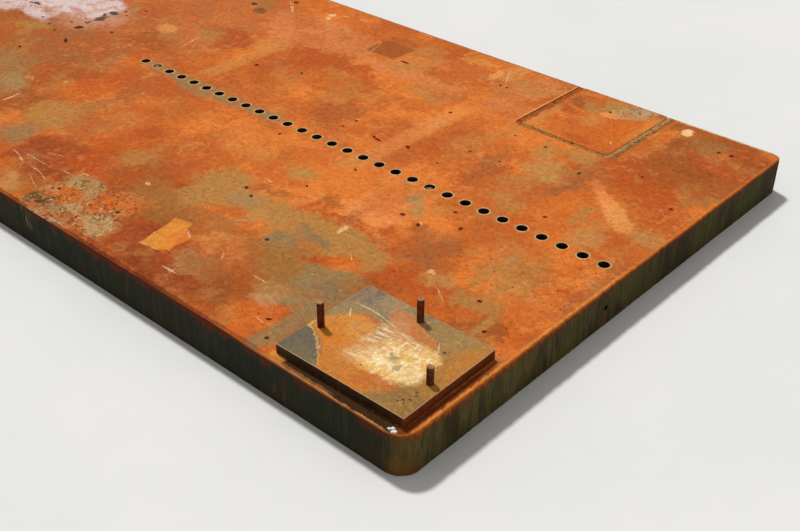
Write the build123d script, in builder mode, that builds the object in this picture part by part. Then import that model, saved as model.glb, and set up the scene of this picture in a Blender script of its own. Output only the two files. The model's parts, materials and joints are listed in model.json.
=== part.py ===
"""Heavy steel stock plate with a row of drilled holes, a welded inset and a studded pad.

Millimetres, +Z up. The origin is on the floor, under the middle of the plate. +X runs
along the plate to its flame-cut end, and -Y faces the long side that carries the pad.
"""
import os

from build123d import *

# Stock plate, 60 in by 120 in by 4 in
plate_length = 3048.0
plate_width = 1524.0
plate_thickness = 101.6
corner_radius = 30.0  # flame-cut corners, seen from above
pad_corner_radius = 50.0  # the corner beside the pad is cut rounder
edge_round = 3.0  # worn top and bottom edges

# Row of through holes along the middle of the plate
hole_count = 30
hole_diameter = 27.0
hole_pitch = 58.0
first_hole_from_end = 62.0
row_offset = -10.0  # the row lies a little to the pad's side of the middle

# Lifting hole drilled into the flame-cut end, at half the thickness
end_hole_diameter = 14.0
end_hole_depth = 60.0
end_hole_offset = -85.0  # from the middle of the end

# Inset let into a notch in the back edge, and the gouged groove that holds its weld
notch_from_end = 326.0
notch_width = 328.0
notch_depth = 335.0
notch_radius = 26.0
inset_radius = 12.0
seam_left = 13.0
seam_near = 16.0
seam_right = 24.0
seam_depth = 35.0
weld_sink = 2.0  # how far the weld stays below the top
fit_gap = 0.3  # below the weld, round the inset

# Pad lying on the corner, slightly askew
pad_length = 340.0
pad_width = 280.0
pad_thickness = 25.0
pad_from_end = 199.0
pad_from_side = 168.0
pad_turn = 0.8

# Studs in the pad: place from the pad's middle, and height above the pad
stud_diameter = 16.0
stud_chamfer = 1.5
root_diameter = 14.0  # the end that is screwed into the pad, at its thread's core
root_clearance = 0.1
stud_spots = {
    "stud_left": (-143.0, -38.0, 62.0),
    "stud_back": (-3.0, 111.0, 58.0),
    "stud_front": (141.0, -30.0, 43.0),
}

# Places that follow from the sizes
end_x = plate_length / 2
back_y = plate_width / 2
row_middle_x = end_x - first_hole_from_end - (hole_count - 1) * hole_pitch / 2
notch_right_x = end_x - notch_from_end
notch_left_x = notch_right_x - notch_width
notch_near_y = back_y - notch_depth
inset_right_x = notch_right_x - seam_right
inset_left_x = notch_left_x + seam_left
inset_near_y = notch_near_y + seam_near
pad_plane = Plane(
    origin=(end_x - pad_from_end, pad_from_side - back_y, plate_thickness),
    x_dir=Vector(1, 0, 0).rotate(Axis.Z, pad_turn),
    z_dir=(0, 0, 1),
)


def tongue(left, right, near, radius):
    """A rectangle that reaches the back edge, with its two inner corners rounded."""
    middle = ((left + right) / 2, (near + back_y) / 2)
    with BuildSketch() as outline:
        with Locations(middle):
            Rectangle(right - left, back_y - near)
        fillet(outline.vertices().group_by(Axis.Y)[0], radius)
    return outline.sketch


notch_outline = tongue(notch_left_x, notch_right_x, notch_near_y, notch_radius)
inset_outline = tongue(inset_left_x, inset_right_x, inset_near_y, inset_radius)
fit_outline = tongue(
    inset_left_x - fit_gap,
    inset_right_x + fit_gap,
    inset_near_y - fit_gap,
    inset_radius + fit_gap,
)

# Base plate: one slab, with the notch, its groove and the holes cut out of it
with BuildPart() as base_plate:
    with BuildSketch() as slab_outline:
        Rectangle(plate_length, plate_width)
        fillet(slab_outline.vertices().group_by(Axis.X)[-1].sort_by(Axis.Y)[0], pad_corner_radius)
        fillet(slab_outline.vertices().group_by(Axis.Y)[-1].sort_by(Axis.X)[-1], corner_radius)
        fillet(slab_outline.vertices().group_by(Axis.X)[0], corner_radius)
    extrude(amount=plate_thickness)
    outer_edges = base_plate.edges().group_by(Axis.Z)
    fillet(outer_edges[0] + outer_edges[-1], edge_round)
    with BuildSketch():
        add(fit_outline)
    extrude(amount=plate_thickness, mode=Mode.SUBTRACT)
    with BuildSketch(Plane.XY.offset(plate_thickness)):
        add(notch_outline)
    extrude(amount=-seam_depth, mode=Mode.SUBTRACT)
    with Locations((row_middle_x, row_offset, plate_thickness)):
        with GridLocations(hole_pitch, hole_pitch, hole_count, 1):
            Hole(hole_diameter / 2, plate_thickness)
    with Locations(
        Plane(origin=(end_x, end_hole_offset, plate_thickness / 2), z_dir=(1, 0, 0))
    ):
        Hole(end_hole_diameter / 2, end_hole_depth)

# Inset plate: as thick as the base plate, flush with its top, bottom and back edge
with BuildPart() as inset_plate:
    with BuildSketch():
        add(inset_outline)
    extrude(amount=plate_thickness)
    back_face = inset_plate.faces().sort_by(Axis.Y)[-1]
    fillet(back_face.edges().filter_by(Axis.X), edge_round)

# Weld metal in the gouged groove, from the groove's floor to just below the top
with BuildPart() as inset_weld:
    with BuildSketch(Plane.XY.offset(plate_thickness - seam_depth)):
        add(notch_outline)
        add(inset_outline, mode=Mode.SUBTRACT)
    extrude(amount=seam_depth - weld_sink)

# Pad plate, drilled for the studs
with BuildPart() as pad_plate:
    with BuildSketch(pad_plane):
        Rectangle(pad_length, pad_width)
        for x, y, _ in stud_spots.values():
            with Locations((x, y)):
                Circle(root_diameter / 2 + root_clearance, mode=Mode.SUBTRACT)
    extrude(amount=pad_thickness)

pieces = {
    "base_plate": base_plate,
    "inset_plate": inset_plate,
    "inset_weld": inset_weld,
    "pad_plate": pad_plate,
}

# Studs: plain bars that shoulder on the pad, each with its root in the pad's hole
for stud_name, (x, y, height) in stud_spots.items():
    with BuildPart() as stud:
        with BuildSketch(pad_plane):
            with Locations((x, y)):
                Circle(root_diameter / 2)
        extrude(amount=pad_thickness)
        with BuildSketch(pad_plane.offset(pad_thickness)):
            with Locations((x, y)):
                Circle(stud_diameter / 2)
        extrude(amount=height)
        chamfer(stud.faces().sort_by(Axis.Z)[-1].edges(), stud_chamfer)
    pieces[stud_name] = stud

os.makedirs("parts", exist_ok=True)
for piece_name, piece in pieces.items():
    piece.part.label = piece_name
    export_step(piece.part, f"parts/{piece_name}.step")
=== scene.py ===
"""Looks of a heavy steel plate: rusted top, flame-cut end, welded inset and studded pad.

Metres, in the frame of the solids: +X runs to the flame-cut end, -Y faces the long side
that carries the pad, and the floor is at Z = 0. Marks on the top are placed in mm.
"""
import json
import math
import random

import bmesh
import bpy
from bmesh import ops
from mathutils import Matrix, Vector, noise


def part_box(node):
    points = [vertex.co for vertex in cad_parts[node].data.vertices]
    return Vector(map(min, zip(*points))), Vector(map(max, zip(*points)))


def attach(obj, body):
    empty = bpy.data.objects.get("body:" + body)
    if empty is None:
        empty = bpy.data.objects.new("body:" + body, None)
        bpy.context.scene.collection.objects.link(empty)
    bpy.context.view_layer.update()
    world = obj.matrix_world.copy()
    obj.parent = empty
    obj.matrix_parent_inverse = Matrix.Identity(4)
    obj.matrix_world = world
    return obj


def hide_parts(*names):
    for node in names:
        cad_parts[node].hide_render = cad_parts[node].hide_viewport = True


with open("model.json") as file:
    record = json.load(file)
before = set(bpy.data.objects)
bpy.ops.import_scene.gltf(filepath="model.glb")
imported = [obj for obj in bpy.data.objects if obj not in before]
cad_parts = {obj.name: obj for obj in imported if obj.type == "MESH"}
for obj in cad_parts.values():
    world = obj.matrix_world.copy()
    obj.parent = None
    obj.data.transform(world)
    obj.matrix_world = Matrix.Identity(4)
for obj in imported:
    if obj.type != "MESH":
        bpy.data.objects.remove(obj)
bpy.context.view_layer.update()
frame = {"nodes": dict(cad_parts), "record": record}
random.seed(7)

MM = 0.001
plate_low, plate_high = (Vector(corner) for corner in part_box("base_plate"))
pad_low, pad_high = (Vector(corner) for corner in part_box("pad_plate"))
weld_low, weld_high = (Vector(corner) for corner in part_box("inset_weld"))
inset_low, inset_high = (Vector(corner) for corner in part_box("inset_plate"))
top = plate_high.z
end_x = plate_high.x
back_y = plate_high.y
mounts = {mount["name"]: mount for mount in frame["record"]["mounts"]}

# Sizes that the solids hold and the boxes don't
corner_radius = 30 * MM
pad_corner_radius = 50 * MM
arris = 3 * MM
hole_count = 30
hole_pitch = 58 * MM
first_hole = Vector(mounts["row_hole_01"]["pos_m"])
hole_radius = mounts["row_hole_01"]["dims"]["r_mm"] * MM
end_hole = Vector(mounts["end_hole"]["pos_m"])
end_hole_radius = mounts["end_hole"]["dims"]["r_mm"] * MM
end_hole_depth = mounts["end_hole"]["dims"]["length_mm"] * MM
notch_radius = 26 * MM
inset_radius = 12 * MM
seam_depth = 35 * MM
pad_length = 340 * MM
pad_width = 280 * MM
pad_turn = math.radians(0.8)
pad_middle = (pad_low + pad_high) / 2

# The top is finished in regions, split by these lines, in mm
region_ends = (-1524, -200, 420, 860, 1524)
region_split_y = -290
side_y = 762


def shade(red, green, blue):
    """A colour as seen on a screen, 0 to 255, as the light that it stands for."""
    parts = [level / 255 for level in (red, green, blue)]
    return (*[p / 12.92 if p <= 0.04045 else ((p + 0.055) / 1.055) ** 2.4 for p in parts], 1)


pale_rust = shade(236, 144, 76)
bright_rust = shade(224, 124, 50)
rust = shade(196, 102, 40)
orange_rust = shade(208, 104, 36)
red_rust = shade(186, 84, 30)
brick = shade(172, 80, 32)
crimson = shade(148, 64, 30)
dark_rust = shade(134, 58, 22)
brown = shade(154, 84, 34)
mauve = shade(164, 95, 50)
rose = shade(184, 102, 54)
olive = shade(180, 126, 63)
olive_brown = shade(160, 108, 54)
moss = shade(168, 128, 78)
# Grey scale; along the back edge it is a painted highlight
grey_scale_and_highlight = shade(150, 120, 76)
blue_scale = shade(142, 110, 74)
tan = shade(190, 134, 72)
beige = shade(208, 137, 70)
pink_rust = shade(214, 128, 72)
peach = shade(230, 150, 80)
yellow_rust = shade(220, 140, 58)
cream = shade(236, 192, 138)
chalk = shade(218, 192, 188)
pale_scratch = shade(226, 182, 140)
soot = shade(50, 34, 20)
# Grime; in front of the pad's near face it also stands for the pad's painted shadow
grime_and_shade = shade(40, 32, 18)
russet = shade(154, 80, 32)
clay = shade(174, 98, 46)
dust = shade(206, 158, 130)
amber = shade(222, 140, 52)
khaki = shade(174, 130, 76)
sand = shade(188, 144, 92)
ash = shade(180, 152, 116)
umber = shade(106, 68, 30)
dark_red = shade(92, 34, 14)
# Painted shade deep inside the drilled holes
hole_shade = shade(14, 11, 9)


def plan_box(low, high):
    """The left, right, near and far sides of a box, in mm."""
    return (low.x / MM, high.x / MM, low.y / MM, high.y / MM)


def touches(x, y, reach, box):
    """Whether a mark, ragged edge included, reaches into a box of left, right, near and far."""
    margin = reach * 1.25 + 70
    left, right, near, far = box
    return left - margin < x < right + margin and near - margin < y < far + margin


def reaching(marks, box):
    """Those marks of a table that reach into the box."""
    return [mark for mark in marks if touches(mark[0], mark[1], max(mark[2], mark[3]), box)]


class Finish:
    """A procedural finish, built up node by node on the piece's own coordinates."""

    def __init__(self, name, roughness, colour=None, flat=False):
        self.material = bpy.data.materials.new(name)
        self.material.use_nodes = True
        self.tree = self.material.node_tree
        self.shader = self.tree.nodes["Principled BSDF"]
        self.shader.inputs["Roughness"].default_value = roughness
        self.shader.inputs["Specular IOR Level"].default_value = 0.12
        self.colour = colour
        self.dimensions = "2D" if flat else "3D"
        self.place = self.node("ShaderNodeTexCoord").outputs["Object"]
        self.settle()

    def node(self, kind, **settings):
        made = self.tree.nodes.new(kind)
        for name, value in settings.items():
            setattr(made, name, value)
        return made

    def feed(self, socket, value):
        if isinstance(value, bpy.types.NodeSocket):
            self.tree.links.new(value, socket)
        else:
            socket.default_value = value

    def math(self, operation, *values):
        made = self.node("ShaderNodeMath", operation=operation)
        for socket, value in zip(made.inputs, (*values, 0.0, 0.0)):
            self.feed(socket, value)
        return made.outputs[0]

    def both(self, first, *others):
        """The product of some masks."""
        for other in others:
            first = self.math("MULTIPLY", first, other)
        return first

    def vector_math(self, operation, *values):
        made = self.node("ShaderNodeVectorMath", operation=operation)
        for socket, value in zip(made.inputs, values):
            self.feed(socket, value)
        return made.outputs["Value" if operation in ("LENGTH", "DOT_PRODUCT") else "Vector"]

    def mix(self, factor, first, second, blend="MIX"):
        made = self.node("ShaderNodeMix", data_type="RGBA", blend_type=blend)
        for index, value in ((0, factor), (6, first), (7, second)):
            self.feed(made.inputs[index], value)
        return made.outputs[2]

    def blend(self, factor, first, second):
        made = self.node("ShaderNodeMix")
        for index, value in ((0, factor), (2, first), (3, second)):
            self.feed(made.inputs[index], value)
        return made.outputs[0]

    def coat(self, mask, tone):
        """Lays a tone over the colour where the mask is."""
        self.colour = self.mix(mask, self.colour, tone)

    def step(self, value, low, high, strength=1.0):
        """0 at low and strength at high, with a soft start and end; low may be the larger."""
        made = self.node("ShaderNodeMapRange", interpolation_type="SMOOTHSTEP")
        start, finish, ends = (low, high, (0.0, strength)) if low < high else (high, low, (strength, 0.0))
        for socket, number in zip(made.inputs, (value, start, finish, *ends)):
            self.feed(socket, number)
        return made.outputs[0]

    def noise(self, place, size, detail, roughness):
        made = self.node("ShaderNodeTexNoise", noise_dimensions=self.dimensions)
        names = ("Vector", "Scale", "Detail", "Roughness")
        for name, value in zip(names, (place, 1 / size, detail, roughness)):
            self.feed(made.inputs[name], value)
        return made.outputs

    def cloud(self, size, detail=4.0, roughness=0.55, stretch=None, shift=0.0, turn=0.0):
        """Noise whose lumps are about size across."""
        place = self.place
        if stretch or shift or turn:
            mapping = self.node("ShaderNodeMapping")
            self.feed(mapping.inputs["Vector"], self.place)
            mapping.inputs["Location"].default_value = (shift, shift, shift)
            mapping.inputs["Rotation"].default_value = (0, 0, math.radians(turn))
            mapping.inputs["Scale"].default_value = stretch or (1, 1, 1)
            place = mapping.outputs[0]
        return self.noise(place, size, detail, roughness)[0]

    def blotches(self, colour, tone, size, low, high, strength=1.0, detail=5.0, roughness=0.65, thinned=None,
                 **more):
        """A colour with blotches of a tone, about size across, where the cloud passes from low to high."""
        mask = self.step(self.cloud(size, detail, roughness, **more), low, high, strength)
        return self.mix(self.both(mask, thinned) if thinned else mask, colour, tone)

    def mottle(self, *shape, **more):
        """Lays blotches over the colour."""
        self.colour = self.blotches(self.colour, *shape, **more)

    def swirl(self, size, detail=7.0):
        """A push that wanders over the surface, for patches with ragged edges."""
        return self.noise(self.place, size, detail, 0.68)["Color"]

    def stir(self, swirl, reach):
        """Pushes the masks' coordinates about by up to reach."""
        pushed = self.vector_math("MULTIPLY_ADD", swirl, (reach * 4, reach * 4, 0), self.place)
        self.views = {0: self.vector_math("SUBTRACT", pushed, (reach * 2, reach * 2, 0))}

    def settle(self):
        """Puts the masks' coordinates back on the piece."""
        self.views = {0: self.place}

    def view(self, turn):
        """The masks' coordinates on axes turned about Z, kept for the next mask of that turn."""
        if turn not in self.views:
            along, across = math.cos(math.radians(turn)), math.sin(math.radians(turn))
            made = self.node("ShaderNodeCombineXYZ")
            self.feed(made.inputs[0], self.vector_math("DOT_PRODUCT", self.views[0], (along, across, 0)))
            self.feed(made.inputs[1], self.vector_math("DOT_PRODUCT", self.views[0], (-across, along, 0)))
            self.views[turn] = made.outputs[0]
        return self.views[turn]

    def spot(self, x, y, reach_x, reach_y, turn=0, soft=0.5, square=False, strength=1.0):
        """A mask that is strength inside an oval or a rectangle, seen from above, in mm."""
        along, across = math.cos(math.radians(turn)), math.sin(math.radians(turn))
        middle = ((x * along + y * across) / reach_x, (y * along - x * across) / reach_y)
        scale = (1 / (reach_x * MM), 1 / (reach_y * MM), 0)
        place = self.vector_math("MULTIPLY_ADD", self.view(turn), scale, (-middle[0], -middle[1], 0))
        if square:
            place = self.vector_math("ABSOLUTE", place)
            distance = self.math("MAXIMUM", self.vector_math("DOT_PRODUCT", place, (1, 0, 0)),
                                 self.vector_math("DOT_PRODUCT", place, (0, 1, 0)))
        else:
            distance = self.vector_math("LENGTH", place)
        return self.step(distance, 1 + soft / 2, 1 - soft / 2, strength)

    def paint(self, marks, box, thinned=None, square=False):
        """Paints those marks of a table that reach into the box."""
        for x, y, reach_x, reach_y, soft, strength, tone, *turn in reaching(marks, box):
            mask = self.spot(x, y, reach_x, reach_y, turn[0] if turn else 0, soft, square, strength)
            self.coat(self.both(mask, thinned) if thinned else mask, tone)

    def scratch(self, x1, y1, x2, y2, width, strength=0.8):
        """A long thin mask between two points."""
        length = math.hypot(x2 - x1, y2 - y1)
        turn = round(math.degrees(math.atan2(y2 - y1, x2 - x1)) / 5) * 5
        middle = ((x1 + x2) / 2, (y1 + y2) / 2)
        return self.spot(*middle, length / 2, width / 2, turn, soft=0.8, strength=strength)

    def specks(self, spacing, size, share, shift=0.0):
        """A mask of scattered round specks: share of the cells of the given spacing hold one."""
        cells = self.node("ShaderNodeTexVoronoi", voronoi_dimensions=self.dimensions)
        mapping = self.node("ShaderNodeMapping")
        self.feed(mapping.inputs["Vector"], self.place)
        mapping.inputs["Location"].default_value = (shift, shift, 0)
        self.feed(cells.inputs["Vector"], mapping.outputs[0])
        cells.inputs["Scale"].default_value = 1 / spacing
        split = self.node("ShaderNodeSeparateColor")
        self.feed(split.inputs[0], cells.outputs["Color"])
        reach = self.both(split.outputs[0], size / spacing)
        inside = self.step(self.math("SUBTRACT", cells.outputs["Distance"], reach), 0.02, -0.02)
        return self.both(inside, self.math("LESS_THAN", split.outputs[1], share))

    def grainy(self, grain, amount):
        """Lightens and darkens the colour by a cloud, by up to about the amount."""
        level = self.math("MULTIPLY_ADD", grain, 4 * amount, 1 - 2 * amount)
        grey = self.node("ShaderNodeCombineColor")
        for socket in grey.inputs[:3]:
            self.feed(socket, level)
        self.colour = self.mix(1.0, self.colour, grey.outputs[0], blend="MULTIPLY")

    def heights(self):
        """The coordinates one by one."""
        split = self.node("ShaderNodeSeparateXYZ")
        self.feed(split.inputs[0], self.place)
        return split.outputs

    def close(self, height=None, depth=0.0, roughness=None):
        """Gives the shader the colour, and a bump of some depth from a height between 0 and 1."""
        self.feed(self.shader.inputs["Base Color"], self.colour)
        if roughness is not None:
            self.feed(self.shader.inputs["Roughness"], roughness)
        if height is not None:
            bump = self.node("ShaderNodeBump")
            bump.inputs["Strength"].default_value = 1.0
            bump.inputs["Distance"].default_value = depth
            self.feed(bump.inputs["Height"], height)
            self.feed(self.shader.inputs["Normal"], bump.outputs[0])
        return self.material

    def grained(self, size, amount, depth, roughness=0.7):
        """Closes the finish with a grain that is both seen and felt."""
        grain = self.cloud(size, roughness=roughness)
        self.grainy(grain, amount)
        return self.close(grain, depth)


# Broad fields of rust: x, y, reach x, reach y in mm, edge softness, strength, colour, and a turn if any
broad_fields = [
    (-1300, 500, 210, 170, 0.7, 0.7, red_rust), (-1330, -480, 170, 190, 0.7, 0.7, brick),
    (-1120, -250, 160, 110, 0.7, 0.7, bright_rust, 20), (-1400, -60, 110, 150, 0.8, 0.6, pink_rust),
    (-950, 430, 180, 130, 0.8, 0.7, mauve, -20), (-800, -620, 220, 100, 0.7, 0.7, crimson),
    (-900, -330, 700, 500, 0.4, 0.75, brown), (-560, 330, 420, 420, 0.6, 0.6, rose),
    (-200, 60, 300, 120, 0.8, 0.5, brick), (1400, 560, 160, 230, 0.6, 0.75, russet),
    (1410, 610, 120, 100, 0.7, 0.9, crimson), (1230, 420, 90, 150, 0.7, 0.7, brick),
    (-110, -110, 120, 80, 0.7, 0.7, brick), (110, -100, 100, 60, 0.7, 0.7, brick),
    (1300, -100, 80, 60, 0.7, 0.5, brown), (350, -480, 280, 150, 0.6, 0.6, brick),
    (860, -620, 420, 150, 0.6, 0.7, brick), (430, -640, 260, 110, 0.7, 0.6, crimson),
    (1300, -380, 260, 70, 0.6, 0.5, brick), (680, -150, 300, 130, 0.5, 0.85, bright_rust),
    (930, -180, 85, 75, 0.6, 0.8, pale_rust, 20), (300, -120, 170, 95, 0.6, 0.7, bright_rust),
    (110, -330, 120, 150, 0.6, 0.6, orange_rust), (120, -140, 110, 90, 0.6, 0.6, rust),
    (1345, -170, 175, 110, 0.6, 0.6, bright_rust), (1230, 20, 210, 60, 0.7, 0.5, orange_rust),
    (1240, 190, 70, 100, 0.6, 0.6, orange_rust), (-205, -225, 105, 100, 0.6, 0.8, orange_rust),
    (-550, -100, 190, 120, 0.7, 0.85, mauve, -20), (-340, -95, 110, 95, 0.7, 0.85, mauve),
    (-700, 20, 150, 90, 0.8, 0.7, mauve), (-520, 230, 130, 90, 0.8, 0.6, mauve),
    (-480, -330, 170, 90, 0.8, 0.7, olive_brown, -30), (-440, 380, 76, 60, 0.6, 0.7, rose),
    (-362, 104, 80, 56, 0.6, 0.8, brown), (-255, -432, 66, 60, 0.5, 0.8, brown),
    (-66, -180, 28, 56, 0.6, 0.7, mauve, 20), (0, 520, 225, 105, 0.6, 0.8, pink_rust),
    (-168, 285, 92, 70, 0.4, 0.8, brick), (-150, 700, 95, 46, 0.5, 0.85, orange_rust),
    (60, 680, 130, 40, 0.6, 0.6, orange_rust), (150, 375, 125, 56, 0.5, 0.85, red_rust),
    (300, 380, 96, 44, 0.5, 0.85, red_rust), (120, 200, 90, 130, 0.6, 0.5, brick),
    (425, 478, 235, 46, 0.5, 0.75, pink_rust), (546, 712, 90, 32, 0.5, 0.8, yellow_rust),
    (790, 560, 70, 120, 0.6, 0.5, pink_rust), (470, 150, 50, 112, 0.5, 0.7, mauve),
    (978, 150, 40, 105, 0.5, 0.75, mauve), (1176, 260, 30, 95, 0.5, 0.8, mauve),
    (1343, 350, 90, 76, 0.5, 0.75, red_rust), (1494, 470, 30, 100, 0.5, 0.6, clay),
    (1320, 570, 74, 100, 0.4, 0.75, brown), (1446, 586, 46, 50, 0.5, 0.8, orange_rust),
    (1225, 560, 24, 120, 0.5, 0.8, orange_rust), (776, -262, 18, 42, 0.5, 0.75, red_rust),
    (852, -282, 56, 22, 0.4, 0.85, red_rust), (1015, -292, 62, 40, 0.4, 0.85, red_rust),
    (1130, -235, 78, 70, 0.8, 0.7, mauve), (1165, -375, 86, 36, 0.3, 0.95, red_rust),
    (1478, -378, 50, 40, 0.4, 0.9, orange_rust), (1404, -382, 46, 44, 0.4, 0.8, brown),
    (1490, -160, 26, 130, 0.6, 0.5, rose), (380, -480, 90, 80, 0.5, 0.85, brown),
    (488, -436, 32, 28, 0.4, 0.9, crimson), (637, -436, 52, 40, 0.4, 0.85, orange_rust),
    (758, -530, 66, 52, 0.5, 0.7, beige), (540, -560, 70, 50, 0.5, 0.7, brown),
    (888, -530, 40, 30, 0.4, 0.85, brick), (710, -690, 240, 88, 0.35, 0.85, crimson),
    (640, -732, 190, 30, 0.7, 0.8, dark_rust), (1019, -690, 84, 62, 0.35, 0.95, orange_rust),
    (900, -660, 70, 70, 0.7, 0.7, brown), (120, -570, 138, 110, 0.4, 0.85, crimson),
    (230, -520, 80, 60, 0.5, 0.7, red_rust), (186, -302, 42, 40, 0.5, 0.75, brick),
    (440, -590, 60, 60, 0.4, 0.8, orange_rust), (-300, -200, 80, 60, 0.6, 0.7, brown),
    (-200, -195, 70, 60, 0.7, 0.6, red_rust), (-60, -190, 60, 80, 0.7, 0.7, clay),
    (10, -400, 76, 70, 0.6, 0.7, clay), (200, 200, 70, 80, 0.7, 0.6, rust),
    (660, -298, 52, 30, 0.5, 0.85, clay), (775, -638, 70, 42, 0.5, 0.8, khaki),
    (560, -700, 50, 46, 0.5, 0.7, brick), (1186, 290, 34, 95, 0.6, 0.75, mauve),
    (1440, 610, 80, 74, 0.6, 0.8, brick), (1216, 590, 20, 130, 0.6, 0.75, rust),
    (1452, 380, 48, 46, 0.6, 0.7, olive), (1502, -90, 24, 170, 0.5, 0.75, clay),
    (1342, -175, 74, 84, 0.6, 0.85, olive), (1140, -255, 60, 52, 0.6, 0.8, mauve),
    (-240, -24, 34, 46, 0.5, 0.85, orange_rust), (792, 668, 70, 80, 0.7, 0.6, pink_rust),
    (1120, -410, 40, 50, 0.6, 0.7, brick),
]

# Thin mill scale and damp marks that dull the rust
scale_marks = [
    (-1180, -520, 120, 70, 0.8, 0.8, olive, 20), (-1230, -450, 60, 50, 0.7, 0.7, grey_scale_and_highlight),
    (-1380, 260, 90, 110, 0.8, 0.7, olive_brown, -20), (-1050, 620, 130, 60, 0.8, 0.8, tan, 10),
    (-820, -420, 90, 60, 0.8, 0.7, grey_scale_and_highlight, -15), (-1240, 60, 60, 40, 0.8, 0.6, moss, 30),
    (-760, 640, 70, 50, 0.8, 0.6, olive), (560, -385, 84, 90, 0.7, 0.75, olive),
    (850, -365, 230, 55, 0.7, 0.75, olive), (960, -490, 170, 80, 0.7, 0.75, olive_brown, -10),
    (560, -520, 110, 60, 0.9, 0.6, olive_brown), (-470, -350, 160, 80, 0.9, 0.45, grey_scale_and_highlight, -30),
    (-660, 110, 120, 110, 0.9, 0.6, dust), (200, -690, 60, 50, 0.9, 0.6, brown),
    (-736, -85, 70, 30, 0.9, 0.85, olive, 20), (-385, -378, 56, 34, 0.9, 0.9, moss, -25),
    (-110, -425, 92, 72, 0.8, 0.95, olive), (-65, -330, 44, 46, 0.9, 0.5, olive_brown),
    (-80, -540, 54, 46, 0.9, 0.85, grey_scale_and_highlight, -20), (-240, 262, 38, 50, 0.6, 0.8, olive),
    (-326, 590, 46, 36, 0.4, 0.8, olive_brown, -30), (-362, 190, 120, 40, 0.7, 0.5, olive, -30),
    (286, -370, 24, 60, 0.9, 0.35, tan), (278, -408, 50, 36, 0.8, 0.65, olive),
    (548, -342, 72, 64, 0.6, 1.0, olive), (545, -430, 54, 54, 0.7, 1.0, olive),
    (650, -376, 60, 36, 0.5, 1.0, moss, -10), (755, -360, 60, 44, 0.7, 1.0, olive),
    (885, -340, 160, 50, 0.6, 1.0, olive), (1010, -335, 80, 34, 0.7, 1.0, olive),
    (906, -376, 56, 26, 0.9, 0.9, blue_scale, -10), (722, -418, 20, 38, 0.9, 0.8, tan),
    (852, -441, 44, 44, 0.8, 0.95, grey_scale_and_highlight), (840, -430, 16, 14, 0.6, 0.8, blue_scale),
    (938, -508, 72, 58, 0.7, 1.0, olive_brown), (1060, -490, 84, 62, 0.7, 1.0, grey_scale_and_highlight),
    (1085, -515, 46, 30, 0.9, 0.95, blue_scale), (1128, -470, 40, 40, 0.8, 0.9, olive_brown),
    (1000, -592, 50, 42, 0.8, 0.9, sand), (1060, -588, 44, 34, 0.8, 0.9, grey_scale_and_highlight),
    (1348, -326, 62, 38, 0.8, 0.9, olive), (1235, -310, 36, 26, 0.9, 0.8, tan),
    (1290, -138, 22, 26, 0.8, 0.7, khaki), (1160, -430, 60, 24, 0.9, 0.7, brown),
    (560, 402, 66, 34, 0.6, 0.6, olive), (780, 650, 56, 40, 0.6, 0.6, olive),
    (380, 250, 50, 80, 0.7, 0.4, olive), (1100, 258, 60, 52, 0.8, 0.95, tan),
    (1080, 165, 36, 30, 0.9, 0.55, tan), (1028, 366, 26, 30, 0.8, 0.9, olive, -20),
    (1127, 384, 56, 34, 0.8, 0.9, olive), (1040, 330, 30, 40, 0.9, 0.7, tan, -30),
    (1298, 145, 20, 52, 0.9, 0.8, olive), (1375, 50, 50, 46, 0.9, 0.8, tan),
    (1120, 60, 60, 26, 0.6, 0.5, olive), (1352, 680, 56, 44, 0.9, 0.8, olive_brown),
    (985, -122, 26, 34, 0.9, 0.7, olive, -50), (650, -180, 40, 36, 0.8, 0.85, olive),
    (803, -634, 64, 42, 0.9, 0.75, mauve), (815, -225, 36, 26, 0.9, 0.7, brown, -60),
    (960, -565, 110, 26, 0.9, 0.6, olive_brown), (700, -480, 60, 30, 0.9, 0.6, olive_brown),
    (460, -500, 90, 40, 0.9, 0.6, olive_brown), (1250, -470, 120, 16, 0.9, 0.6, brown),
    (1345, 732, 150, 30, 0.8, 0.75, brown), (1225, 735, 24, 30, 0.8, 0.7, brown),
    (1074, -368, 40, 36, 0.7, 0.8, olive),
]

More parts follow.
